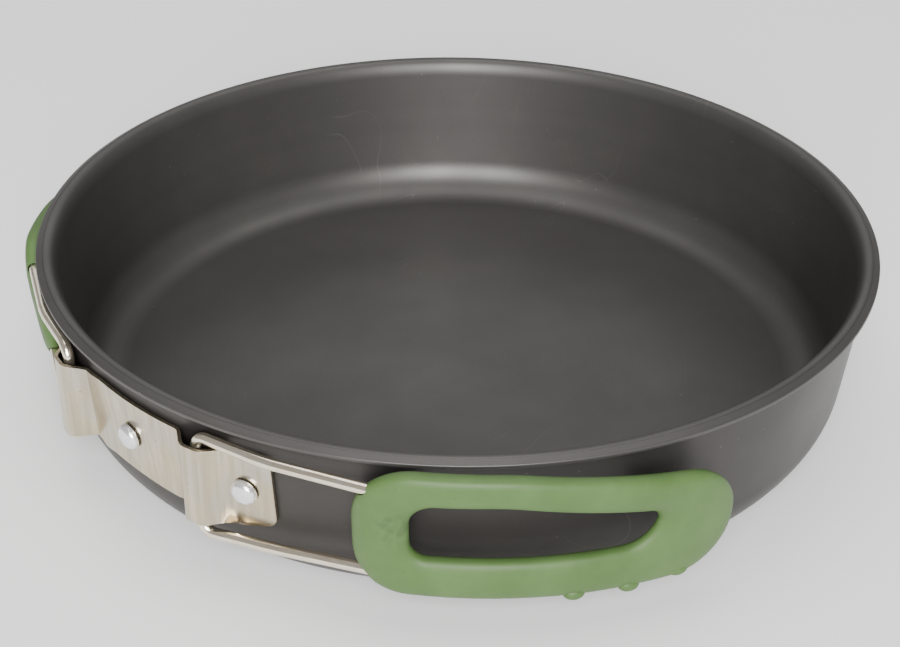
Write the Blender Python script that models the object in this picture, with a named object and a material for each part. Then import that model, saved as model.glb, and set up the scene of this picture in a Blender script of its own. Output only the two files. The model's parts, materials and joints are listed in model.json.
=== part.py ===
"""A 200 mm hard-anodised camping frying pan with a riveted hinge bracket and two folding wire handles.

The origin is on the pan's axis at the underside of its base, +Z is up, and the bracket is at -Y.
An azimuth is in degrees round the pan's axis, from the bracket's centre, positive towards +X.
A depth is a height measured from the top of the rim, so it is negative below it.
"""

import math

import bmesh
import bpy
from mathutils import Matrix, Vector

MM = 0.001
GAP = 0.3 * MM                      # between pieces that touch

# Pan
RIM_RADIUS = 100 * MM
PAN_HEIGHT = 41 * MM
SHEET = 1.6 * MM                    # base and rim
WALL = 2.6 * MM                     # the wall is thicker
WALL_LEAN = math.radians(6.0)       # the wall leans in towards the base
WALL_TOP_RADIUS = 98.07 * MM        # outer face of the wall, carried up to the height of the rim
CORNER_RADIUS = 13 * MM             # outer corner between wall and base
INNER_CORNER = 10.4 * MM
FLARE_RADIUS = 1.2 * MM             # outer face of the bend under the rim
FLARE_RUN = 2.6 * MM                # half sizes of the oval bend inside, between wall and rim
FLARE_DROP = 5.5 * MM
CREST_RADIUS = 98.4 * MM            # outer edge of the rim's flat crest
RIM_BEVEL = 0.66 * MM               # how far the rim's outer band falls away from its crest
PAN_SEGMENTS = 96

# Hinge bracket: one strip, on the wall at its centre and tabs, standing off it in two lobes
STRIP = 0.8 * MM
LOBE_RADIUS = 101.4 * MM            # inner face of a lobe, from the pan's axis
LOBE_RISE = (9.3, 12.5)             # azimuths between which the strip leaves the wall
LOBE_FALL = (14.0, 17.2)            # azimuths between which it comes back
LEFT_LOBE_DROP = 1.0 * MM           # the left lobe sits this much lower than the right one
LEFT_LOBE_TWIST = 1.2               # and its inner bend runs this many degrees further out at the bottom
TAB_END = 22.9
TAB_CORNER = 2.6 * MM
TOP_DEPTHS = ((0, -6.8), (8.6, -6.8), (10.2, -6.9), (16.0, -6.9), (18.0, -6.6), (TAB_END, -6.6))
BOTTOM_DEPTHS = ((0, -26.6), (7.6, -26.8), (10.4, -25.7), (15.0, -25.7), (17.0, -26.9), (TAB_END, -24.7))

# Rivets
RIVET_AZIMUTHS = {"rivet_left": -19.3, "rivet_centre": 0.0, "rivet_right": 19.3}
RIVET_DEPTH = -16.7 * MM
SHANK_RADIUS = 1.6 * MM
HEAD_RADIUS = 3.0 * MM
HEAD_HEIGHT = 1.8 * MM
TAIL_RADIUS = 4.0 * MM
TAIL_HEIGHT = 1.0 * MM

# Handles: a wire loop with a moulded grip, laid out on a flat sheet that is wrapped round the pan
HINGE_AZIMUTH = 13.1
HINGE_RADIUS = 99.6 * MM
WIRE_RADIUS = 1.25 * MM
STUB_BEND = 3.2 * MM
LOOP_BEND = 8.3 * MM
LEG_TOP = -5.0 * MM                 # depth of the upper leg where it leaves the hinge
LEG_BOTTOM = -29.4 * MM
KINK_AZIMUTH = 23.0
KINK_RADIUS = 100.4 * MM            # of the upper leg, and less lower down
KINK_LEAN = 0.09
GRIP_AZIMUTH = 36.0                 # where the legs enter the grip
GRIP_RADIUS = 102.0 * MM            # middle of the grip's thickness at the depth below
GRIP_DEPTH = -5.0 * MM
GRIP_THICKNESS = 4.7 * MM
WRAP_RADIUS = 101.0 * MM            # turns azimuths into lengths along the sheet
# Side of the bracket, how much the loop hangs down in its hinge (mm per degree round the pan),
# and how many degrees it is swung out at rest
HANDLES = {"left": (-1, 0.083, -1.0), "right": (1, 0.0, 2.2)}

# Corners of the flat shapes: azimuth, depth in mm, corner radius in mm
GRIP_OUTLINE = ((33.7, 0.6, 13.0), (52.0, 0.1, 60), (78.6, -6.9, 14.0),
                (79.2, -32.8, 12.5), (60.0, -32.4, 80), (33.5, -31.5, 11.5))
GRIP_SLOT = ((40.2, -7.4, 5.5), (51.0, -7.2, 40), (68.9, -13.0, 3.5),
             (68.6, -21.9, 7.5), (56.0, -22.0, 60), (40.2, -21.6, 4.0))
WIRE_ROUTE = ((HINGE_AZIMUTH, -15.5, 0), (HINGE_AZIMUTH, LEG_TOP / MM, STUB_BEND / MM),
              (GRIP_AZIMUTH, -5.0, 40), (54.0, -4.0, 40), (73.2, -10.2, LOOP_BEND / MM),
              (73.4, -26.8, LOOP_BEND / MM), (GRIP_AZIMUTH, -26.6, 40),
              (HINGE_AZIMUTH, LEG_BOTTOM / MM, STUB_BEND / MM), (HINGE_AZIMUTH, -18.9, 0))
NUBS = ((59.2, -31.8, 0), (65.9, -32.0, 0), (72.2, -30.9, 0))
NUB_SIZE = Vector((2.3, 1.5, 1.5)) * MM     # half sizes along the edge, outwards and down


def remove_everything():
    for item in list(bpy.data.objects):
        bpy.data.objects.remove(item)


def material(name, colour, roughness, metallic):
    made = bpy.data.materials.new(name)
    made.use_nodes = True
    shader = made.node_tree.nodes["Principled BSDF"]
    shader.inputs["Base Color"].default_value = (*colour, 1.0)
    shader.inputs["Roughness"].default_value = roughness
    shader.inputs["Metallic"].default_value = metallic
    made.diffuse_color = (*colour, 1.0)
    return made


def add_object(name, data, look=None):
    made = bpy.data.objects.new(name, data)
    bpy.context.collection.objects.link(made)
    if look:
        data.materials.append(look)
    return made


def add_mesh(name, shape, look=None, sharp=40):
    data = bpy.data.meshes.new(name)
    shape.to_mesh(data)
    shape.free()
    data.shade_smooth()
    data.set_sharp_from_angle(angle=math.radians(sharp))
    return add_object(name, data, look)


def hide_cutter(cutter):
    cutter.hide_render = True
    cutter.display_type = "WIRE"


def boolean(piece, tool, operation):
    change = piece.modifiers.new(operation.title(), "BOOLEAN")
    change.operation = operation
    change.object = tool
    hide_cutter(tool)


def arc(centre, radius, start, end, steps):
    """Points on an arc in a plane, with angles in degrees."""
    angles = [math.radians(start + (end - start) * i / steps) for i in range(steps + 1)]
    return [(centre[0] + radius * math.cos(a), centre[1] + radius * math.sin(a)) for a in angles]


def turned(name, profile, segments, look):
    """Turns a profile of (radius, height) round Z; it runs from the top of the axis outwards and down."""
    data = bpy.data.meshes.new(name)
    edges = [(i, i + 1) for i in range(len(profile) - 1)]
    data.from_pydata([(r, 0, z) for r, z in profile], edges, [])
    piece = add_object(name, data, look)
    turn = piece.modifiers.new("Turn", "SCREW")
    turn.steps = segments
    turn.render_steps = segments
    turn.use_merge_vertices = True
    turn.merge_threshold = 0.05 * MM
    turn.use_smooth_shade = True
    return piece


def wall_radius(depth, offset=0.0):
    """Radius of the wall's outer face at a depth below the rim, moved out by an offset."""
    return WALL_TOP_RADIUS + depth * math.tan(WALL_LEAN) + offset / math.cos(WALL_LEAN)


def around(azimuth, radius, depth):
    angle = math.radians(azimuth)
    return Vector((radius * math.sin(angle), -radius * math.cos(angle), PAN_HEIGHT + depth))


def inner_flare(steps):
    """The oval bend that carries the inside of the wall out to the crest of the rim."""
    first = math.atan(math.tan(WALL_LEAN) * FLARE_DROP / FLARE_RUN)
    height = PAN_HEIGHT - FLARE_DROP
    middle = wall_radius(FLARE_DROP * (math.sin(first) - 1), -WALL) + FLARE_RUN * math.cos(first)
    turns = [first + (math.pi / 2 - first) * i / steps for i in range(steps + 1)]
    return [(middle - FLARE_RUN * math.cos(t), height + FLARE_DROP * math.sin(t)) for t in turns]


def pan_profile():
    lean = math.degrees(WALL_LEAN)
    corner = (wall_radius(CORNER_RADIUS - PAN_HEIGHT, -CORNER_RADIUS), CORNER_RADIUS)
    inner_height = SHEET + INNER_CORNER
    inner = (wall_radius(inner_height - PAN_HEIGHT, -WALL - INNER_CORNER), inner_height)
    under_rim = FLARE_RADIUS + SHEET
    flare = (wall_radius(-under_rim, FLARE_RADIUS), PAN_HEIGHT - under_rim)
    inside = arc(inner, INNER_CORNER, -90, -lean, 6)
    bend_in = inner_flare(6) + [(CREST_RADIUS, PAN_HEIGHT)]
    edge = [(RIM_RADIUS, PAN_HEIGHT - RIM_BEVEL),
            (RIM_RADIUS, PAN_HEIGHT - SHEET + 0.25 * MM),
            (RIM_RADIUS - 0.25 * MM, PAN_HEIGHT - SHEET)]
    bend_out = arc(flare, FLARE_RADIUS, 90, 180 - lean, 4)
    outside = arc(corner, CORNER_RADIUS, -lean, -90, 7)
    return [(0, SHEET)] + inside + bend_in + edge + bend_out + outside + [(0, 0)]


def rivet_frame(azimuth):
    """Placement whose origin is on the wall's outer face and whose Z points out of the wall."""
    turn = Matrix.Rotation(math.radians(azimuth), 4, "Z")
    tip = Matrix.Rotation(math.pi / 2 + WALL_LEAN, 4, "X")
    place = Matrix.Translation(around(azimuth, wall_radius(RIVET_DEPTH), RIVET_DEPTH))
    return place @ turn @ tip


def cut_rivet_holes(piece):
    for name, azimuth in RIVET_AZIMUTHS.items():
        shape = bmesh.new()
        bmesh.ops.create_cone(shape, cap_ends=True, segments=20, radius1=SHANK_RADIUS + GAP,
                              radius2=SHANK_RADIUS + GAP, depth=12 * MM)
        cutter = add_mesh(piece.name + "_hole_" + name, shape)
        cutter.matrix_world = rivet_frame(azimuth)
        boolean(piece, cutter, "DIFFERENCE")


def make_pan(look):
    pan = turned("pan_body", pan_profile(), PAN_SEGMENTS, look)
    cut_rivet_holes(pan)


def smooth_step(value, limits):
    t = min(max((value - limits[0]) / (limits[1] - limits[0]), 0.0), 1.0)
    return t * t * (3 - 2 * t)


def follow(table, value):
    """Reads a table of (azimuth, depth in mm) with eased steps between its rows."""
    for (start, first), (end, last) in zip(table, table[1:]):
        if value <= end:
            return (first + (last - first) * smooth_step(value, (start, end))) * MM
    return table[-1][1] * MM


def bracket_azimuths():
    half = [0.0, 2.6, 5.2, 7.6, 8.6]
    half += [LOBE_RISE[0] + (LOBE_RISE[1] - LOBE_RISE[0]) * i / 8 for i in range(9)]
    half += [LOBE_FALL[0] + (LOBE_FALL[1] - LOBE_FALL[0]) * i / 8 for i in range(9)]
    half += [18.0, 19.3, 20.6]
    corner = math.degrees(TAB_CORNER / WALL_TOP_RADIUS)
    half += [TAB_END - corner * (1 - math.sin(math.radians(15 * i))) for i in range(7)]
    return [-a for a in reversed(half[1:])] + half


def bracket_point(azimuth, share):
    """Inner face of the strip; share runs from 0 at its lower edge to 1 at its upper edge."""
    side = abs(azimuth)
    end = (TAB_END - side) * math.radians(1) * WALL_TOP_RADIUS
    reach = min(max(1 - end / TAB_CORNER, 0.0), 1.0)
    rounding = TAB_CORNER * (1 - math.sqrt(1 - reach * reach))
    low = follow(BOTTOM_DEPTHS, side) + rounding
    high = follow(TOP_DEPTHS, side) - rounding
    sunk = smooth_step(-azimuth, (5.0, 9.0)) * (1 - smooth_step(-azimuth, (15.0, 18.5)))
    depth = low + (high - low) * share - LEFT_LOBE_DROP * sunk
    twist = LEFT_LOBE_TWIST * (1 - share) if azimuth < 0 else 0.0
    lift = smooth_step(side, (LOBE_RISE[0] + twist, LOBE_RISE[1])) * (1 - smooth_step(side, LOBE_FALL))
    seated = wall_radius(depth, GAP)
    return around(azimuth, seated + (LOBE_RADIUS - seated) * lift, depth)


def make_bracket(look):
    shape = bmesh.new()
    columns = [[shape.verts.new(bracket_point(a, row / 2)) for row in range(3)] for a in bracket_azimuths()]
    for left, right in zip(columns, columns[1:]):
        for row in range(2):
            shape.faces.new((left[row], right[row], right[row + 1], left[row + 1]))
    bracket = add_mesh("hinge_bracket", shape, look)
    thicken = bracket.modifiers.new("Thickness", "SOLIDIFY")
    thicken.thickness = STRIP
    thicken.offset = 1.0
    thicken.use_even_offset = True
    cut_rivet_holes(bracket)


def rivet_profile():
    seat = GAP + STRIP + GAP                # underside of the outer head
    top = seat + HEAD_HEIGHT
    edge = 1.1 * MM
    back = -WALL - GAP                      # inner head, against the inside of the wall
    dome = arc((HEAD_RADIUS - edge, top - edge), edge, 90, 0, 4)
    tail = [(TAIL_RADIUS, back), (TAIL_RADIUS, back - TAIL_HEIGHT / 2), (TAIL_RADIUS * 0.85, back - TAIL_HEIGHT)]
    shank = [(HEAD_RADIUS, seat), (SHANK_RADIUS, seat), (SHANK_RADIUS, back)]
    return [(0, top + 0.15 * MM)] + dome + shank + tail + [(0, back - TAIL_HEIGHT)]


def make_rivets(look):
    for name, azimuth in RIVET_AZIMUTHS.items():
        rivet = turned(name, rivet_profile(), 24, look)
        rivet.matrix_world = rivet_frame(azimuth)


def line_radius(azimuth, start, end):
    """Radius at an azimuth of the straight line, seen from above, between two (azimuth, radius) points."""
    a, b = (Vector((r * math.sin(math.radians(t)), r * math.cos(math.radians(t)))) for t, r in (start, end))
    way = Vector((math.sin(math.radians(azimuth)), math.cos(math.radians(azimuth))))
    step = b - a
    return (a.x * step.y - a.y * step.x) / (way.x * step.y - way.y * step.x)


def sheet_radius(azimuth, depth):
    """Radius of the sheet that a handle is laid out on: two straight runs, then round with the pan."""
    grip = GRIP_RADIUS + (depth - GRIP_DEPTH) * math.tan(WALL_LEAN)
    kink = KINK_RADIUS + (depth - LEG_TOP) * KINK_LEAN
    if azimuth >= GRIP_AZIMUTH:
        return grip
    if azimuth >= KINK_AZIMUTH:
        return line_radius(azimuth, (KINK_AZIMUTH, kink), (GRIP_AZIMUTH, grip))
    return line_radius(azimuth, (HINGE_AZIMUTH, HINGE_RADIUS), (KINK_AZIMUTH, kink))


def along(azimuth):
    return math.radians(azimuth) * WRAP_RADIUS


def wrapped(side, length, depth, out=0.0):
    """Wraps a point of the flat sheet round the pan, relative to the handle's hinge axis."""
    azimuth = math.degrees(length / WRAP_RADIUS)
    point = around(azimuth, sheet_radius(azimuth, depth) + out, depth) - hinge_point(1)
    return Vector((side * point.x, point.y, point.z))


def hinge_point(side):
    return around(side * HINGE_AZIMUTH, HINGE_RADIUS, (LEG_TOP + LEG_BOTTOM) / 2)


def fillet(before, corner, after, radius, steps):
    """Points of an arc that rounds a corner of a flat path."""
    back = (before - corner).normalized()
    ahead = (after - corner).normalized()
    half = back.angle(ahead) / 2
    reach = radius / math.tan(half)
    middle = corner + (back + ahead).normalized() * (radius / math.sin(half))
    start = corner + back * reach - middle
    sweep = (corner + ahead * reach - middle).angle_signed(start)
    return [middle + Matrix.Rotation(sweep * i / steps, 2) @ start for i in range(steps + 1)]


def hung(route, droop):
    """The same corners, lowered towards the far end by the play in the hinge."""
    return [(a, d - droop * (a - HINGE_AZIMUTH), radius) for a, d, radius in route]


def rounded(route, steps, between, closed):
    """A flat path through (azimuth, depth, radius) corners, with extra points on its straight runs."""
    corners = [Vector((along(a), d * MM)) for a, d, _ in route]
    count = len(corners)
    runs = []
    for i, (_, _, radius) in enumerate(route):
        if radius:
            runs.append(fillet(corners[i - 1], corners[i], corners[(i + 1) % count], radius * MM, steps))
        else:
            runs.append([corners[i]])
    points = []
    for i, run in enumerate(runs):
        points += run
        if closed or i + 1 < count:
            ahead = runs[(i + 1) % count][0]
            points += [run[-1].lerp(ahead, (j + 1) / (between + 1)) for j in range(between)]
    return points


def tube(name, points, radius, look=None):
    data = bpy.data.curves.new(name, "CURVE")
    data.dimensions = "3D"
    data.bevel_depth = radius
    data.bevel_resolution = 3
    data.use_fill_caps = True
    line = data.splines.new("POLY")
    line.points.add(len(points) - 1)
    for place, point in zip(line.points, points):
        place.co = (*point, 1.0)
    return add_object(name, data, look)


def make_wire(name, side, droop, hinge, look):
    flat = rounded(hung(WIRE_ROUTE, droop), 5, 3, closed=False)
    wire = tube("handle_wire_" + name, [wrapped(side, p.x, p.y) for p in flat], WIRE_RADIUS, look)
    wire.parent = hinge


def band_section(steps=10, squareness=2.6):
    """Rounded-rectangle section of the grip: shares across the band from -1 to 1, and of the half thickness."""
    for i in range(steps):
        a = 2 * math.pi * i / steps
        yield tuple(math.copysign(abs(v) ** (2 / squareness), v) for v in (math.cos(a), math.sin(a)))


def grip_shape(side, droop):
    shape = bmesh.new()
    rings = []
    outline, hole = hung(GRIP_OUTLINE, droop), hung(GRIP_SLOT, droop)
    for rim, slot in zip(rounded(outline, 4, 2, True), rounded(hole, 4, 2, True)):
        ring = []
        for across, out in band_section():
            p = rim.lerp(slot, (1 - across) / 2)
            ring.append(shape.verts.new(wrapped(side, p.x, p.y, out * GRIP_THICKNESS / 2)))
        rings.append(ring)
    for ring, following in zip(rings, rings[1:] + rings[:1]):
        for i, vert in enumerate(ring):
            j = (i + 1) % len(ring)
            shape.faces.new((vert, following[i], following[j], ring[j]))
    bmesh.ops.recalc_face_normals(shape, faces=shape.faces)
    return shape


def add_nubs(grip, side, droop, name, hinge):
    for i, (azimuth, depth, _) in enumerate(hung(NUBS, droop)):
        shape = bmesh.new()
        bmesh.ops.create_uvsphere(shape, u_segments=10, v_segments=6, radius=1.0)
        bmesh.ops.scale(shape, vec=NUB_SIZE, verts=shape.verts)
        turn = Matrix.Rotation(math.radians(side * azimuth), 4, "Z")
        place = wrapped(side, along(azimuth), depth * MM, 0.9 * MM)
        bmesh.ops.transform(shape, matrix=Matrix.Translation(place) @ turn, verts=shape.verts)
        nub = add_mesh(f"nub_{name}_{i}", shape)
        nub.parent = hinge
        boolean(grip, nub, "UNION")


def make_grip(name, side, droop, hinge, look):
    grip = add_mesh("grip_" + name, grip_shape(side, droop), look)
    grip.parent = hinge
    add_nubs(grip, side, droop, name, hinge)
    flat = rounded(hung(WIRE_ROUTE, droop), 5, 3, closed=False)
    inside = [p for p in flat if p.x > along(KINK_AZIMUTH + 6)]
    route = tube("channel_route_" + name, [wrapped(side, p.x, p.y) for p in inside], WIRE_RADIUS + GAP)
    bpy.context.view_layer.update()
    channel = add_object("channel_" + name, bpy.data.meshes.new_from_object(route))
    bpy.data.objects.remove(route)
    channel.parent = hinge
    boolean(grip, channel, "DIFFERENCE")


def make_handles(wire_look, grip_look):
    for name, (side, droop, swung) in HANDLES.items():
        hinge = add_object(name + "_hinge_axis", None)
        hinge.location = hinge_point(side)
        hinge.rotation_euler.z = -side * math.radians(swung)
        make_wire(name, side, droop, hinge, wire_look)
        make_grip(name, side, droop, hinge, grip_look)


def main():
    remove_everything()
    make_pan(material("hard-anodised aluminium", (0.09, 0.085, 0.08), 0.45, 0.8))
    make_bracket(material("brushed stainless steel", (0.55, 0.53, 0.49), 0.32, 1.0))
    make_rivets(material("bright aluminium", (0.8, 0.8, 0.8), 0.2, 1.0))
    make_handles(material("polished stainless wire", (0.6, 0.56, 0.5), 0.15, 1.0),
                 material("green silicone rubber", (0.22, 0.35, 0.15), 0.55, 0.0))


main()
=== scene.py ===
import json
import math

import bmesh
import bpy
from mathutils import Matrix, Vector


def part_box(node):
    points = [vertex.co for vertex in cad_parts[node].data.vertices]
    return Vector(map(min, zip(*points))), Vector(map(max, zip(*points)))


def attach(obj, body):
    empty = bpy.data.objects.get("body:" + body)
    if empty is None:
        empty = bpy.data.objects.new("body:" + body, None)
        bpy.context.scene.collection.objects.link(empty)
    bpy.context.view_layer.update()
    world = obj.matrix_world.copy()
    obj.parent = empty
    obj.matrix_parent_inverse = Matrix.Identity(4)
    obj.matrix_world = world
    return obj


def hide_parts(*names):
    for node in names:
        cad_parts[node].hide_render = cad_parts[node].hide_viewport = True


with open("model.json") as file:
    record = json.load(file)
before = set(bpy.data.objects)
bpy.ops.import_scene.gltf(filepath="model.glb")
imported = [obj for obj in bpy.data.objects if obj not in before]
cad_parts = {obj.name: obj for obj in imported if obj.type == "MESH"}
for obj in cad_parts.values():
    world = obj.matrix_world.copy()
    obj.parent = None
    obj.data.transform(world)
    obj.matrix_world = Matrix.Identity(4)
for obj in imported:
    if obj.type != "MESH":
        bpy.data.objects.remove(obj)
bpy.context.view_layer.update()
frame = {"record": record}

mm = 0.001
panLow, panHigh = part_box("pan_body")
rimHeight = panHigh[2]
rimRadius = (panHigh[0] - panLow[0]) / 2
hinges = {joint["child"]: Vector(joint["pos_m"]) for joint in frame["record"]["behaviour"]["joints"]}


def hexColour(text):
    parts = [int(text[i:i + 2], 16) / 255 for i in (1, 3, 5)]
    return [v / 12.92 if v <= 0.04045 else ((v + 0.055) / 1.055) ** 2.4 for v in parts] + [1.0]


def perMm(size):
    # texture scale that gives features of about this many millimetres
    return 1000 / size


def addNode(tree, kind, inputs=None, **settings):
    node = tree.nodes.new("ShaderNode" + kind)
    for key, value in settings.items():
        setattr(node, key, value)
    for key, value in (inputs or {}).items():
        if isinstance(value, bpy.types.NodeSocket):
            tree.links.new(value, node.inputs[key])
        else:
            node.inputs[key].default_value = value
    return node


def newMaterial(name):
    made = bpy.data.materials.new(name)
    made.use_nodes = True
    tree = made.node_tree
    tree.nodes.clear()
    return made, tree, addNode(tree, "TexCoord").outputs["Object"]


def noiseAt(tree, place, size, detail, roughness=0.5):
    inputs = {"Vector": place, "Scale": perMm(size), "Detail": detail, "Roughness": roughness}
    return addNode(tree, "TexNoise", inputs).outputs["Fac"]


def lineNoise(tree, distance, scale, detail):
    inputs = {"W": distance, "Scale": scale, "Detail": detail}
    return addNode(tree, "TexNoise", inputs, noise_dimensions="1D").outputs["Fac"]


def stretched(tree, place, scale, turn=(0.0, 0.0, 0.0)):
    return addNode(tree, "Mapping", {"Vector": place, "Scale": scale, "Rotation": turn}).outputs[0]


def joined(tree, operation, first, second):
    return addNode(tree, "Math", {0: first, 1: second}, operation=operation).outputs[0]


def mixed(tree, factor, first, second, blend="MIX"):
    # inputs 6 and 7 and output 2 are the node's colour sockets
    inputs = {"Factor": factor, 6: first, 7: second}
    return addNode(tree, "Mix", inputs, data_type="RGBA", blend_type=blend).outputs[2]


def bumped(tree, height, strength, depth):
    inputs = {"Height": height, "Strength": strength, "Distance": depth * mm}
    return addNode(tree, "Bump", inputs).outputs[0]


def ramp(tree, factor, stops):
    node = addNode(tree, "ValToRGB", {"Fac": factor})
    marks = node.color_ramp.elements
    while len(marks) < len(stops):
        marks.new(0.5)
    for mark, (place, colour) in zip(marks, stops):
        mark.position = place
        mark.color = hexColour(colour) if isinstance(colour, str) else (colour, colour, colour, 1)
    return node.outputs["Color"]


def finishMaterial(tree, shader):
    addNode(tree, "OutputMaterial", {"Surface": shader.outputs["BSDF"]})


def linkObject(name, data, looks=()):
    made = bpy.data.objects.new(name, data)
    bpy.context.scene.collection.objects.link(made)
    for look in looks:
        data.materials.append(look)
    return made


def meshObject(name, shape, looks, sharp=40):
    bmesh.ops.recalc_face_normals(shape, faces=shape.faces)
    data = bpy.data.meshes.new(name)
    shape.to_mesh(data)
    shape.free()
    data.shade_smooth()
    data.set_sharp_from_angle(angle=math.radians(sharp))
    return linkObject(name, data, looks)


def arc(centre, radius, start, end, steps):
    angles = [math.radians(start + (end - start) * i / steps) for i in range(steps + 1)]
    return [(centre[0] + radius * math.cos(a), centre[1] + radius * math.sin(a)) for a in angles]


def turnProfile(profile, segments):
    # lathe: (radius, height) points from the top of the axis outwards, round and back to the axis
    shape = bmesh.new()
    angles = [2 * math.pi * i / segments for i in range(segments)]
    rings = []
    for radius, height in profile:
        if radius:
            ring = [(radius * math.cos(a), radius * math.sin(a), height) for a in angles]
        else:
            ring = [(0, 0, height)]
        rings.append([shape.verts.new(place) for place in ring])
    for inner, outer in zip(rings, rings[1:]):
        for i in range(segments):
            j = (i + 1) % segments
            corners = [inner[i % len(inner)], outer[i % len(outer)],
                       outer[j % len(outer)], inner[j % len(inner)]]
            unique = list(dict.fromkeys(corners))
            if len(unique) > 2:
                shape.faces.new(unique)
    return shape


def around(azimuth, radius, depth):
    # azimuth from the middle of the bracket, positive towards the right handle
    # depth from the top of the rim, negative below it
    angle = math.radians(azimuth)
    return Vector((radius * math.sin(angle), -radius * math.cos(angle), rimHeight + depth))


def smoothStep(value, low, high):
    t = min(max((value - low) / (high - low), 0.0), 1.0)
    return t * t * (3 - 2 * t)


def hardAnodisedAluminium(name, tones):
    # spun sheet, bead blasted and hard anodised: a dark warm grey satin with faint turning rings
    made, tree, place = newMaterial(name)
    parts = addNode(tree, "SeparateXYZ", {0: place})
    flat = addNode(tree, "CombineXYZ", {"X": parts.outputs["X"], "Y": parts.outputs["Y"]})
    radius = addNode(tree, "VectorMath", {0: flat.outputs[0]}, operation="LENGTH").outputs["Value"]
    cloud = noiseAt(tree, place, 38, 3.0, 0.6)
    grain = noiseAt(tree, place, 0.55, 2.0, 0.7)
    # real turning marks are about 0.2 mm apart; drawn at about 0.8 mm so that they show
    rings = lineNoise(tree, joined(tree, "MULTIPLY", radius, perMm(0.8)), 1.0, 2.0)
    tone = ramp(tree, cloud, list(zip((0.3, 0.5, 0.72), tones)))
    ringTone = ramp(tree, rings, [(0.3, 0.975), (0.7, 1.015)])
    grainTone = ramp(tree, grain, [(0.3, 0.96), (0.7, 1.04)])
    colour = mixed(tree, 1.0, tone, ringTone, "MULTIPLY")
    colour = mixed(tree, 1.0, colour, grainTone, "MULTIPLY")
    # sparse pale nicks about a millimetre long
    nicks = noiseAt(tree, stretched(tree, place, (1.0, 2.4, 1.6), (0.0, 0.3, 0.6)), 2.6, 1.0)
    nickMask = ramp(tree, nicks, [(0.785, 0.0), (0.81, 0.4)])
    colour = mixed(tree, nickMask, colour, hexColour("#7d7a75"))
    # long hairline scratches are the contour lines of a stretched noise, kept only in patches
    lines = noiseAt(tree, stretched(tree, place, (1.0, 0.16, 0.5), (0.0, 0.0, 0.5)), 9, 0.0)
    hairline = ramp(tree, lines, [(0.497, 0.0), (0.5, 1.0), (0.503, 0.0)])
    patchMask = ramp(tree, noiseAt(tree, place, 30, 1.0), [(0.58, 0.0), (0.66, 0.14)])
    scratch = joined(tree, "MULTIPLY", hairline, patchMask)
    colour = mixed(tree, scratch, colour, hexColour("#9b9892"))
    gloss = ramp(tree, cloud, [(0.3, 0.46), (0.7, 0.41)])
    bump = bumped(tree, joined(tree, "ADD", grain, rings), 0.06, 0.05)
    shader = addNode(tree, "BsdfPrincipled", {
        "Base Color": colour, "Roughness": gloss, "Metallic": 0.6, "Normal": bump})
    finishMaterial(tree, shader)
    return made


def satinStainlessSheet():
    # rolled stainless strip, stamped and bent: satin, with fine upright drag marks and a few pits
    made, tree, place = newMaterial("satinStainlessSheet")
    drag = noiseAt(tree, stretched(tree, place, (1.0, 1.0, 0.05)), 1.3, 4.0)
    cloud = noiseAt(tree, place, 9, 3.0)
    fine = noiseAt(tree, place, 0.3, 2.0)
    tone = ramp(tree, drag, [(0.3, "#bcb19e"), (0.5, "#c8bfac"), (0.7, "#d5cdbe")])
    warm = ramp(tree, cloud, [(0.35, "#fffaf0"), (0.65, "#f3f4f6")])
    colour = mixed(tree, 1.0, tone, warm, "MULTIPLY")
    pits = addNode(tree, "TexVoronoi", {"Vector": place, "Scale": perMm(3.2)})
    pitMask = ramp(tree, pits.outputs["Distance"], [(0.05, 0.7), (0.09, 0.0)])
    colour = mixed(tree, pitMask, colour, hexColour("#77726a"))
    # hairline scratches
    lines = noiseAt(tree, stretched(tree, place, (0.5, 0.5, 1.0), (0.5, 0.3, 0.0)), 14, 0.0)
    hairline = ramp(tree, lines, [(0.496, 0.0), (0.5, 0.3), (0.504, 0.0)])
    colour = mixed(tree, hairline, colour, hexColour("#8f8b85"))
    gloss = ramp(tree, cloud, [(0.3, 0.25), (0.7, 0.18)])
    bump = bumped(tree, joined(tree, "ADD", drag, fine), 0.08, 0.05)
    shader = addNode(tree, "BsdfPrincipled", {
        "Base Color": colour, "Roughness": gloss, "Metallic": 1.0, "Normal": bump})
    finishMaterial(tree, shader)
    return made


def shearedSteelEdge():
    # the cut edge of the strip: yellower and rougher than its faces, with a fine torn grain
    made, tree, place = newMaterial("shearedSteelEdge")
    shear = noiseAt(tree, place, 0.35, 3.0)
    tone = ramp(tree, shear, [(0.3, "#8c8270"), (0.7, "#cfc5ae")])
    bump = bumped(tree, shear, 0.3, 0.06)
    shader = addNode(tree, "BsdfPrincipled", {
        "Base Color": tone, "Roughness": 0.38, "Metallic": 1.0, "Normal": bump})
    finishMaterial(tree, shader)
    return made


def headedAluminium():
    # soft aluminium rivet, cold headed in a polished die: bright, with faint marks out from its centre
    made, tree, place = newMaterial("headedAluminium")
    parts = addNode(tree, "SeparateXYZ", {0: place})
    angle = joined(tree, "ARCTAN2", parts.outputs["Y"], parts.outputs["X"])
    spokes = lineNoise(tree, angle, 9.0, 3.0)
    grain = noiseAt(tree, place, 0.35, 3.0)
    tone = ramp(tree, grain, [(0.3, "#dcdedf"), (0.7, "#fafafa")])
    gloss = ramp(tree, spokes, [(0.3, 0.16), (0.7, 0.30)])
    bump = bumped(tree, joined(tree, "ADD", spokes, grain), 0.25, 0.05)
    shader = addNode(tree, "BsdfPrincipled", {
        "Base Color": tone, "Roughness": gloss, "Metallic": 0.75, "Normal": bump})
    finishMaterial(tree, shader)
    return made


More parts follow.
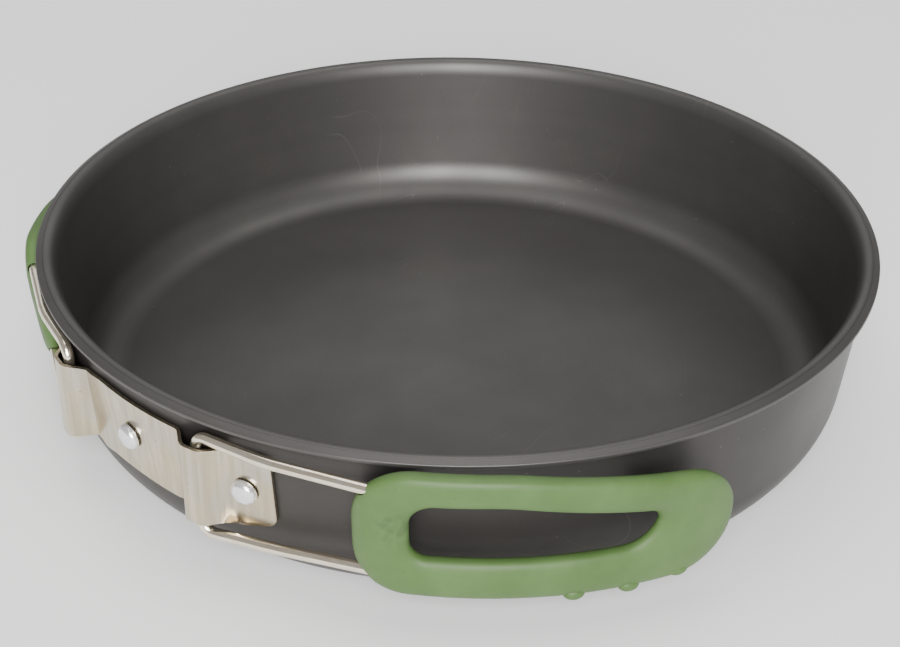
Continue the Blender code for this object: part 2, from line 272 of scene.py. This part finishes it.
def polishedStainlessWire():
    # drawn stainless wire, bent and tumbled bright: near-mirror, slightly warm, with tiny handling dints
    made, tree, place = newMaterial("polishedStainlessWire")
    drawn = noiseAt(tree, stretched(tree, place, (0.12, 0.12, 1.0)), 0.5, 2.0)
    dints = noiseAt(tree, place, 0.9, 2.0)
    tone = ramp(tree, drawn, [(0.3, "#e6d8c0"), (0.7, "#f4ebda")])
    gloss = ramp(tree, dints, [(0.35, 0.12), (0.7, 0.20)])
    bump = bumped(tree, joined(tree, "ADD", drawn, dints), 0.04, 0.05)
    shader = addNode(tree, "BsdfPrincipled", {
        "Base Color": tone, "Roughness": gloss, "Metallic": 0.94, "Normal": bump})
    finishMaterial(tree, shader)
    return made


def mouldedSilicone(name, darkPatchAt):
    # silicone rubber moulded in a lightly blasted mould: sage green, soft sheen, dust specks, a darker
    # patch beside the slot's near end
    made, tree, place = newMaterial(name)
    cloud = noiseAt(tree, place, 14, 4.0, 0.6)
    grain = noiseAt(tree, place, 0.4, 2.0)
    tone = ramp(tree, cloud, [(0.3, "#466030"), (0.5, "#4c6736"), (0.7, "#536e3d")])
    specks = addNode(tree, "TexVoronoi", {"Vector": place, "Scale": perMm(3.4), "Randomness": 1.0})
    speckMask = ramp(tree, specks.outputs["Distance"], [(0.045, 0.55), (0.075, 0.0)])
    colour = mixed(tree, speckMask, tone, hexColour("#3f4c2b"))
    # the darker patch fades out between 1 and 6 mm from its middle
    away = addNode(tree, "VectorMath", {0: place, 1: tuple(darkPatchAt)}, operation="DISTANCE")
    near = addNode(tree, "MapRange", {
        "Value": away.outputs["Value"], "From Min": 1 * mm, "From Max": 6 * mm,
        "To Min": 0.55, "To Max": 0.0}).outputs[0]
    patchNoise = noiseAt(tree, place, 1.6, 3.0)
    patchNoiseMask = ramp(tree, patchNoise, [(0.42, 0.0), (0.62, 1.0)])
    darkPatch = joined(tree, "MULTIPLY", near, patchNoiseMask)
    colour = mixed(tree, darkPatch, colour, hexColour("#33432a"))
    gloss = ramp(tree, cloud, [(0.3, 0.44), (0.7, 0.54)])
    bump = bumped(tree, joined(tree, "ADD", grain, patchNoise), 0.12, 0.08)
    shader = addNode(tree, "BsdfPrincipled", {
        "Base Color": colour, "Roughness": gloss, "IOR": 1.41, "Subsurface Weight": 0.06,
        "Subsurface Radius": (0.5, 1.0, 0.4), "Subsurface Scale": 1.0 * mm, "Normal": bump})
    finishMaterial(tree, shader)
    return made


def paleStudioPaper(glow):
    # matt seamless background paper: almost white, with the faintest unevenness
    made, tree, place = newMaterial("paleStudioPaper")
    tone = ramp(tree, noiseAt(tree, place, 400, 2.0), [(0.3, "#f6f6f6"), (0.7, "#fafafa")])
    shader = addNode(tree, "BsdfPrincipled", {
        "Base Color": tone, "Roughness": 0.9, "Specular IOR Level": 0.1,
        "Emission Color": hexColour("#ffffff"), "Emission Strength": glow})
    finishMaterial(tree, shader)
    return made


panSizes = {
    "sheet": 1.6 * mm,        # base and rim
    "wall": 2.6 * mm,
    "wallLean": 6.0,          # degrees
    "wallTop": 98.07 * mm,    # outer face carried up to the rim's height
    "corner": 13 * mm,
    "innerCorner": 10.4 * mm,
    "flare": 1.2 * mm,
    "innerFlare": (2.6 * mm, 5.5 * mm),  # half sizes of the oval bend between wall and rim
    "crest": 98.4 * mm,       # outer edge of the rim's flat
    "rimBevel": 0.66 * mm,
    "creaseWidth": 0.22 * mm,  # fine crease where the flat of the rim turns down
    "creaseDepth": 0.12 * mm,
    "creaseLip": 0.3,          # share of its depth that its outer side keeps
    "softEdge": 0.25 * mm,     # rounding of the rim's outer band
    "edgeLift": 0.10 * mm,
    "edgeInset": 0.07 * mm,
    "edgeDrop": 0.15 * mm,
    "baseRings": [r * mm for r in range(10, 80, 10)],
    "cornerSteps": 20,
    "innerFlareSteps": 16,
    "flareSteps": 10,
    "segments": 288,
    "insideTones": ("#4d4b49", "#514f4d", "#575552"),
    "shadedOutsideTones": ("#3a3836", "#3e3b39", "#43403d"),  # painted shade: the outside copy of the same anodising is drawn darker
}


def wallRadius(depth, offset=0.0):
    lean = math.radians(panSizes["wallLean"])
    return panSizes["wallTop"] + depth * math.tan(lean) + offset / math.cos(lean)


def innerFlare(steps):
    run, drop = panSizes["innerFlare"]
    first = math.atan(math.tan(math.radians(panSizes["wallLean"])) * drop / run)
    middle = wallRadius(drop * (math.sin(first) - 1), -panSizes["wall"]) + run * math.cos(first)
    turns = [first + (math.pi / 2 - first) * i / steps for i in range(steps + 1)]
    return [(middle - run * math.cos(t), rimHeight - drop + drop * math.sin(t)) for t in turns]


def buildPan(insideLook, outsideLook):
    s = panSizes
    sheet, lean = s["sheet"], s["wallLean"]
    centre = (wallRadius(s["corner"] - rimHeight, -s["corner"]), s["corner"])
    innerHeight = sheet + s["innerCorner"]
    inner = (wallRadius(innerHeight - rimHeight, -s["wall"] - s["innerCorner"]), innerHeight)
    bend = s["flare"] + sheet
    flare = (wallRadius(-bend, s["flare"]), rimHeight - bend)
    floor = [(0.0, sheet)] + [(r, sheet) for r in s["baseRings"]]
    inside = arc(inner, s["innerCorner"], -90, -lean, s["cornerSteps"])
    bendIn = innerFlare(s["innerFlareSteps"])
    crest, half = s["crest"], s["creaseWidth"] / 2
    crease = [(crest - half, rimHeight), (crest, rimHeight - s["creaseDepth"]),
              (crest + half, rimHeight - s["creaseDepth"] * s["creaseLip"])]
    top, foot = rimHeight - s["rimBevel"], rimHeight - sheet
    soft, inset = s["softEdge"], s["edgeInset"]
    edge = [(rimRadius - soft, top + s["edgeLift"]), (rimRadius - inset, top),
            (rimRadius, top - s["edgeDrop"]), (rimRadius, foot + soft),
            (rimRadius - inset, foot + inset), (rimRadius - soft, foot)]
    bendOut = arc(flare, s["flare"], 90, 180 - lean, s["flareSteps"])
    outside = arc(centre, s["corner"], -lean, -90, s["cornerSteps"])
    under = [(r, 0.0) for r in reversed(s["baseRings"])] + [(0.0, 0.0)]
    innerPart = floor + inside + bendIn + crease + edge
    shape = turnProfile(innerPart + bendOut + outside + under, s["segments"])
    # every ring of faces has one face per segment, so these are the faces past the inner part
    for face in shape.faces[s["segments"] * (len(innerPart) - 1):]:
        face.material_index = 1
    pan = meshObject("pan", shape, [insideLook, outsideLook], sharp=50)
    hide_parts("pan_body")
    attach(pan, "pan")


bracketSizes = {
    "strip": 0.8 * mm,
    "clearance": 0.3 * mm,
    "lobe": 101.4 * mm,       # inner face of a lobe from the pan's axis
    "rise": (9.3, 12.5),      # degrees round the pan
    "fall": (14.0, 17.2),
    "leftDrop": 1.0 * mm,     # the left lobe sits this much lower
    "leftSunk": (5.0, 9.0),   # degrees over which it sinks
    "leftRaised": (15.0, 18.5),
    "leftTwist": 1.2,         # and its inner bend runs this many degrees further out at the bottom
    "tabEnd": 22.9,
    "tabCorner": 2.6 * mm,
    # degrees round the pan, mm below the rim
    "top": ((0, -6.8), (8.6, -6.8), (10.2, -6.9), (16.0, -6.9), (18.0, -6.6), (22.9, -6.6)),
    "bottom": ((0, -26.6), (7.6, -26.8), (10.4, -25.7), (15.0, -25.7), (17.0, -26.9), (22.9, -24.7)),
    "rows": 14,
    "columnStep": 0.25,       # degrees
    "cornerSteps": 10,
    "weld": 0.01 * mm,
    "edgeBreak": 0.14 * mm,
}


def readEdge(table, azimuth):
    for (start, first), (end, last) in zip(table, table[1:]):
        if azimuth <= end:
            return (first + (last - first) * smoothStep(azimuth, start, end)) * mm
    return table[-1][1] * mm


def bracketPoint(azimuth, share):
    s = bracketSizes
    side = abs(azimuth)
    toEnd = math.radians(s["tabEnd"] - side) * panSizes["wallTop"]
    reach = min(max(1 - toEnd / s["tabCorner"], 0.0), 1.0)
    rounding = s["tabCorner"] * (1 - math.sqrt(1 - reach * reach))
    low = readEdge(s["bottom"], side) + rounding
    high = readEdge(s["top"], side) - rounding
    sunk = smoothStep(-azimuth, *s["leftSunk"]) * (1 - smoothStep(-azimuth, *s["leftRaised"]))
    depth = low + (high - low) * share - s["leftDrop"] * sunk
    twist = s["leftTwist"] * (1 - share) if azimuth < 0 else 0.0
    lift = smoothStep(side, s["rise"][0] + twist, s["rise"][1]) * (1 - smoothStep(side, *s["fall"]))
    seated = wallRadius(depth, s["clearance"])
    return around(azimuth, seated + (s["lobe"] - seated) * lift, depth)


def buildBracket(faceLook, edgeLook):
    s = bracketSizes
    cornerSpan = math.degrees(s["tabCorner"] / panSizes["wallTop"])
    step, steps = s["columnStep"], s["cornerSteps"]
    half = [step * i for i in range(int((s["tabEnd"] - cornerSpan) / step) + 1)]
    quarter = [math.radians(90 * i / steps) for i in range(steps + 1)]
    half += [s["tabEnd"] - cornerSpan * (1 - math.sin(a)) for a in quarter]
    half = sorted(set(round(a, 4) for a in half))
    azimuths = [-a for a in reversed(half[1:])] + half
    shares = [row / s["rows"] for row in range(s["rows"] + 1)]
    shape = bmesh.new()
    columns = [[shape.verts.new(bracketPoint(a, share)) for share in shares] for a in azimuths]
    for left, right in zip(columns, columns[1:]):
        for row in range(s["rows"]):
            shape.faces.new((left[row], right[row], right[row + 1], left[row + 1]))
    bmesh.ops.remove_doubles(shape, verts=shape.verts, dist=s["weld"])
    data = bpy.data.meshes.new("bracket")
    shape.to_mesh(data)
    shape.free()
    data.shade_smooth()
    bracket = linkObject("bracket", data, [faceLook, edgeLook])
    thicken = bracket.modifiers.new("thickness", "SOLIDIFY")
    thicken.thickness = s["strip"]
    thicken.offset = 1.0
    thicken.use_even_offset = True
    thicken.material_offset_rim = 1
    soften = bracket.modifiers.new("edgeBreak", "BEVEL")
    soften.width = s["edgeBreak"]
    soften.segments = 2
    soften.limit_method = "ANGLE"
    soften.angle_limit = math.radians(50)
    soften.harden_normals = True
    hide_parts("hinge_bracket")
    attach(bracket, "pan")


rivetSizes = {
    "shank": 1.6 * mm,
    "head": 3.0 * mm,
    "headHeight": 1.8 * mm,
    "headEdge": 1.5 * mm,
    "crown": 0.15 * mm,
    "crownRing": (0.35, 0.8),  # shares of the head's radius and of the crown's height
    "undercut": 0.1 * mm,
    "tail": 4.0 * mm,
    "tailHeight": 1.0 * mm,
    "tailEdge": 0.15 * mm,
    "tailRound": ((1.0, 0.5), (0.95, 0.8), (0.85, 1.0)),  # shares of its radius and height
    "segments": 64,
}


def buildRivet(node, look):
    s = rivetSizes
    low, high = (Vector(c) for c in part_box(node))
    middle = (low + high) / 2
    azimuth = math.degrees(math.atan2(middle.x, -middle.y))
    seat = 2 * bracketSizes["clearance"] + bracketSizes["strip"]
    back = -panSizes["wall"] - bracketSizes["clearance"]
    top = seat + s["headHeight"]
    outMiddle = (top + s["crown"] + back - s["tailHeight"]) / 2
    tilt = math.radians(panSizes["wallLean"])
    depth = middle.z - rimHeight + outMiddle * math.sin(tilt)
    dome = arc((s["head"] - s["headEdge"], top - s["headEdge"]), s["headEdge"], 90, 0, 10)
    across, up = s["crownRing"]
    crown = [(0.0, top + s["crown"]), (s["head"] * across, top + s["crown"] * up)]
    skirt = [(s["head"], seat + s["undercut"]), (s["head"] - s["undercut"], seat),
             (s["shank"], seat), (s["shank"], back)]
    tail = [(s["tail"] - s["tailEdge"], back), (s["tail"], back - s["tailEdge"])]
    tail += [(s["tail"] * across, back - s["tailHeight"] * down) for across, down in s["tailRound"]]
    tail += [(0.0, back - s["tailHeight"])]
    shape = turnProfile(crown + dome + skirt + tail, s["segments"])
    rivet = meshObject(node.replace("rivet_", "rivet"), shape, [look])
    turn = Matrix.Rotation(math.radians(azimuth), 4, "Z")
    tip = Matrix.Rotation(math.pi / 2 + tilt, 4, "X")
    rivet.matrix_world = Matrix.Translation(around(azimuth, wallRadius(depth), depth)) @ turn @ tip
    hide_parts(node)
    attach(rivet, "pan")


handleSizes = {
    "hingeAzimuth": 13.1,
    "hingeRadius": 99.6 * mm,
    "wire": 1.25 * mm,        # radius
    "legTop": -5.0,
    "legBottom": -29.4,
    "kinkAzimuth": 23.0,
    "kinkRadius": 100.4 * mm,
    "kinkLean": 0.09,
    "gripAzimuth": 36.0,
    "gripRadius": 102.0 * mm,
    "gripDepth": -5.0 * mm,
    "gripThickness": 4.7 * mm,
    "wrapRadius": 101.0 * mm,
    "wireSteps": (14, 8),     # points in a bend, points between bends
    "gripSteps": (12, 7),
    "entry": (28, 38.5),      # degrees round the pan where the wire enters the grip
    "boreGap": 0.25 * mm,
    "nubOut": 0.9 * mm,
    # middle of the darker patch beside the slot's near end
    "darkPatch": (39.0, -13.0 * mm, 2.3 * mm),
}
# side, how far the loop hangs down in its hinge (mm per degree round the pan), degrees swung out
handlePlaces = {"left": (-1, 0.083, -1.0), "right": (1, 0.0, 2.2)}

# corners of the flat shapes before they are wrapped round the pan
# degrees round the pan, depth in mm, corner radius in mm
gripOutline = ((33.7, 0.6, 13.0), (52.0, 0.1, 60), (78.6, -6.9, 14.0),
               (79.2, -32.8, 12.5), (60.0, -32.4, 80), (33.5, -31.5, 11.5))
gripSlot = ((40.2, -7.4, 5.5), (51.0, -7.2, 40), (68.9, -13.0, 3.5),
            (68.6, -21.9, 7.5), (56.0, -22.0, 60), (40.2, -21.6, 4.0))
wireRoute = ((13.1, -15.5, 0), (13.1, -5.0, 3.2), (36.0, -5.0, 40), (54.0, -4.0, 40), (73.2, -10.2, 8.3),
             (73.4, -26.8, 8.3), (36.0, -26.6, 40), (13.1, -29.4, 3.2), (13.1, -18.9, 0))
nubPlaces = ((59.2, -31.8, 0), (65.9, -32.0, 0), (72.2, -30.9, 0))
nubSize = (2.3 * mm, 1.5 * mm, 1.5 * mm)


def lineRadius(azimuth, start, end):
    a, b = (Vector((r * math.sin(math.radians(t)), r * math.cos(math.radians(t)))) for t, r in (start, end))
    way = Vector((math.sin(math.radians(azimuth)), math.cos(math.radians(azimuth))))
    step = b - a
    return (a.x * step.y - a.y * step.x) / (way.x * step.y - way.y * step.x)


def sheetRadius(azimuth, depth):
    s = handleSizes
    grip = s["gripRadius"] + (depth - s["gripDepth"]) * math.tan(math.radians(panSizes["wallLean"]))
    kink = s["kinkRadius"] + (depth - s["legTop"] * mm) * s["kinkLean"]
    if azimuth >= s["gripAzimuth"]:
        return grip
    if azimuth >= s["kinkAzimuth"]:
        return lineRadius(azimuth, (s["kinkAzimuth"], kink), (s["gripAzimuth"], grip))
    return lineRadius(azimuth, (s["hingeAzimuth"], s["hingeRadius"]), (s["kinkAzimuth"], kink))


def along(azimuth):
    return math.radians(azimuth) * handleSizes["wrapRadius"]


def hingePoint(side):
    s = handleSizes
    return around(side * s["hingeAzimuth"], s["hingeRadius"], (s["legTop"] + s["legBottom"]) / 2 * mm)


def wrapped(side, length, depth, out=0.0):
    azimuth = math.degrees(length / handleSizes["wrapRadius"])
    point = around(azimuth, sheetRadius(azimuth, depth) + out, depth) - hingePoint(1)
    return Vector((side * point.x, point.y, point.z))


def fillet(before, corner, after, radius, steps):
    back = (before - corner).normalized()
    ahead = (after - corner).normalized()
    half = back.angle(ahead) / 2
    reach = radius / math.tan(half)
    middle = corner + (back + ahead).normalized() * (radius / math.sin(half))
    start = corner + back * reach - middle
    sweep = (corner + ahead * reach - middle).angle_signed(start)
    return [middle + Matrix.Rotation(sweep * i / steps, 2) @ start for i in range(steps + 1)]


def hung(route, droop):
    return [(a, d - droop * (a - handleSizes["hingeAzimuth"]), radius) for a, d, radius in route]


def rounded(route, steps, between, closed):
    corners = [Vector((along(a), d * mm)) for a, d, _ in route]
    count = len(corners)
    runs = []
    for i, (_, _, radius) in enumerate(route):
        if radius:
            runs.append(fillet(corners[i - 1], corners[i], corners[(i + 1) % count], radius * mm, steps))
        else:
            runs.append([corners[i]])
    points = []
    for i, run in enumerate(runs):
        points += run
        if closed or i + 1 < count:
            ahead = runs[(i + 1) % count][0]
            points += [run[-1].lerp(ahead, (j + 1) / (between + 1)) for j in range(between)]
    return points


def tube(name, points, radius, looks=()):
    data = bpy.data.curves.new(name, "CURVE")
    data.dimensions = "3D"
    data.bevel_depth = radius
    data.bevel_resolution = 7
    data.use_fill_caps = True
    line = data.splines.new("POLY")
    line.points.add(len(points) - 1)
    for place, point in zip(line.points, points):
        place.co = (*point, 1.0)
    return linkObject(name, data, looks)


def asMesh(piece, name):
    bpy.context.view_layer.update()
    graph = bpy.context.evaluated_depsgraph_get()
    data = bpy.data.meshes.new_from_object(piece.evaluated_get(graph))
    data.name = name
    bpy.data.objects.remove(piece)
    return data


def gripSection(steps=28, squareness=2.6):
    for i in range(steps):
        a = 2 * math.pi * i / steps
        yield tuple(math.copysign(abs(v) ** (2 / squareness), v) for v in (math.cos(a), math.sin(a)))


def gripBody(side, droop):
    shape = bmesh.new()
    rings = []
    steps = handleSizes["gripSteps"]
    outline = rounded(hung(gripOutline, droop), *steps, closed=True)
    hole = rounded(hung(gripSlot, droop), *steps, closed=True)
    for rim, slot in zip(outline, hole):
        ring = []
        for across, out in gripSection():
            p = rim.lerp(slot, (1 - across) / 2)
            ring.append(shape.verts.new(wrapped(side, p.x, p.y, out * handleSizes["gripThickness"] / 2)))
        rings.append(ring)
    for ring, following in zip(rings, rings[1:] + rings[:1]):
        for i, vert in enumerate(ring):
            j = (i + 1) % len(ring)
            shape.faces.new((vert, following[i], following[j], ring[j]))
    return shape


def joinNubs(grip, side, droop):
    for azimuth, depth, _ in hung(nubPlaces, droop):
        shape = bmesh.new()
        bmesh.ops.create_icosphere(shape, subdivisions=4, radius=1.0)
        bmesh.ops.scale(shape, vec=nubSize, verts=shape.verts)
        turn = Matrix.Rotation(math.radians(side * azimuth), 4, "Z")
        place = wrapped(side, along(azimuth), depth * mm, handleSizes["nubOut"])
        bmesh.ops.transform(shape, matrix=Matrix.Translation(place) @ turn, verts=shape.verts)
        combine(grip, meshObject("nubTool", shape, []), "UNION")


def combine(piece, tool, operation):
    change = piece.modifiers.new(operation.title(), "BOOLEAN")
    change.operation = operation
    change.object = tool
    bpy.context.view_layer.update()
    graph = bpy.context.evaluated_depsgraph_get()
    done = bpy.data.meshes.new_from_object(piece.evaluated_get(graph))
    piece.modifiers.remove(change)
    piece.data = done
    bpy.data.objects.remove(tool)


def buildHandle(name, side, droop, swung, wireLook, gripLook):
    s = handleSizes
    body = name + "_handle"
    flat = rounded(hung(wireRoute, droop), *s["wireSteps"], closed=False)
    route = [wrapped(side, p.x, p.y) for p in flat]
    wire = tube("handleWire" + name.title(), route, s["wire"], [wireLook])
    grip = meshObject("grip" + name.title(), gripBody(side, droop), [gripLook], sharp=60)
    joinNubs(grip, side, droop)
    start, end = s["entry"]
    entry = [p for p in flat if along(start) < p.x < along(end)]
    split = sum(p.y for p in entry) / len(entry)
    for leg in ([p for p in entry if p.y > split], [p for p in entry if p.y <= split]):
        leg.sort(key=lambda p: p.x)
        bore = tube("bore", [wrapped(side, p.x, p.y) for p in leg], s["wire"] + s["boreGap"])
        combine(grip, linkObject("boreTool", asMesh(bore, "boreTool")), "DIFFERENCE")
    grip.data.shade_smooth()
    grip.data.set_sharp_from_angle(angle=math.radians(50))
    swing = Matrix.Rotation(-side * math.radians(swung), 4, "Z")
    place = Matrix.Translation(hinges[body]) @ swing
    for piece, node, look in ((wire, "handle_wire_" + name, "polished_stainless_wire"),
                              (grip, "grip_" + name, "green_silicone_rubber")):
        piece.matrix_world = place
        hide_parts(node)
        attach(piece, body)


cameraSizes = {
    "place": (0.255557, -0.257871, 0.235021),
    "turn": (58.2916, -0.6489, 45.4009),  # degrees
    "lens": 68.0,
    "sensor": 36.0,
    "nearest": 0.01,
}
studioSizes = {
    "aim": (0, 0, 0.02),      # the softboxes all face the middle of the pan
    "daylight": 0.32,
    "paper": 4.0,
    "paperDrop": 0.2 * mm,    # how far the paper lies below the base
    "paperGlow": 0.15,
}
lightSizes = {
    # two softboxes on the camera's side, a weak one overhead and a long one behind
    # place, size in metres, watts
    "frontSoftbox": ((0.95, -0.95, 0.95), (0.9, 0.7), 22.0),
    "lowSoftbox": ((1.1, -1.1, 0.55), (0.9, 0.5), 26.0),
    "topSoftbox": ((-0.1, 0.1, 1.1), (0.9, 0.9), 6.0),
    "backSoftbox": ((-0.9, 0.8, 0.75), (1.8, 0.5), 2.4),
}


def buildStudio():
    data = bpy.data.cameras.new("studioCamera")
    data.lens = cameraSizes["lens"]
    data.sensor_width = cameraSizes["sensor"]
    data.clip_start = cameraSizes["nearest"]
    camera = bpy.data.objects.new("studioCamera", data)
    camera.location = cameraSizes["place"]
    camera.rotation_euler = [math.radians(a) for a in cameraSizes["turn"]]
    bpy.context.scene.collection.objects.link(camera)
    bpy.context.scene.camera = camera
    for name, (place, size, watts) in lightSizes.items():
        lamp = bpy.data.lights.new(name, "AREA")
        lamp.shape = "RECTANGLE"
        lamp.size, lamp.size_y = size
        lamp.energy = watts
        light = bpy.data.objects.new(name, lamp)
        light.location = place
        away = Vector(studioSizes["aim"]) - Vector(place)
        light.rotation_euler = away.to_track_quat("-Z", "Y").to_euler()
        bpy.context.scene.collection.objects.link(light)
    world = bpy.data.worlds.new("studioWorld")
    world.use_nodes = True
    background = world.node_tree.nodes["Background"].inputs
    background["Color"].default_value = hexColour("#ffffff")
    background["Strength"].default_value = studioSizes["daylight"]
    bpy.context.scene.world = world
    shape = bmesh.new()
    bmesh.ops.create_grid(shape, x_segments=8, y_segments=8, size=studioSizes["paper"])
    floor = meshObject("studioFloor", shape, [paleStudioPaper(studioSizes["paperGlow"])])
    floor.location.z = -studioSizes["paperDrop"]


print("pan and hinge")
# the outside copy takes darker tones: painted shade on the outer wall
buildPan(hardAnodisedAluminium("hardAnodisedInside", panSizes["insideTones"]),
         hardAnodisedAluminium("hardAnodisedOutsideShaded", panSizes["shadedOutsideTones"]))
buildBracket(satinStainlessSheet(), shearedSteelEdge())
rivetLook = headedAluminium()
for rivetNode in ("rivet_left", "rivet_centre", "rivet_right"):
    buildRivet(rivetNode, rivetLook)
print("handles")
wireLook = polishedStainlessWire()
for handleName, (side, droop, swung) in handlePlaces.items():
    azimuth, depth, out = handleSizes["darkPatch"]
    darkPatch = wrapped(side, along(azimuth), depth, out)
    gripLook = mouldedSilicone("mouldedSilicone" + handleName.title(), darkPatch)
    buildHandle(handleName, side, droop, swung, wireLook, gripLook)
print("studio")
buildStudio()
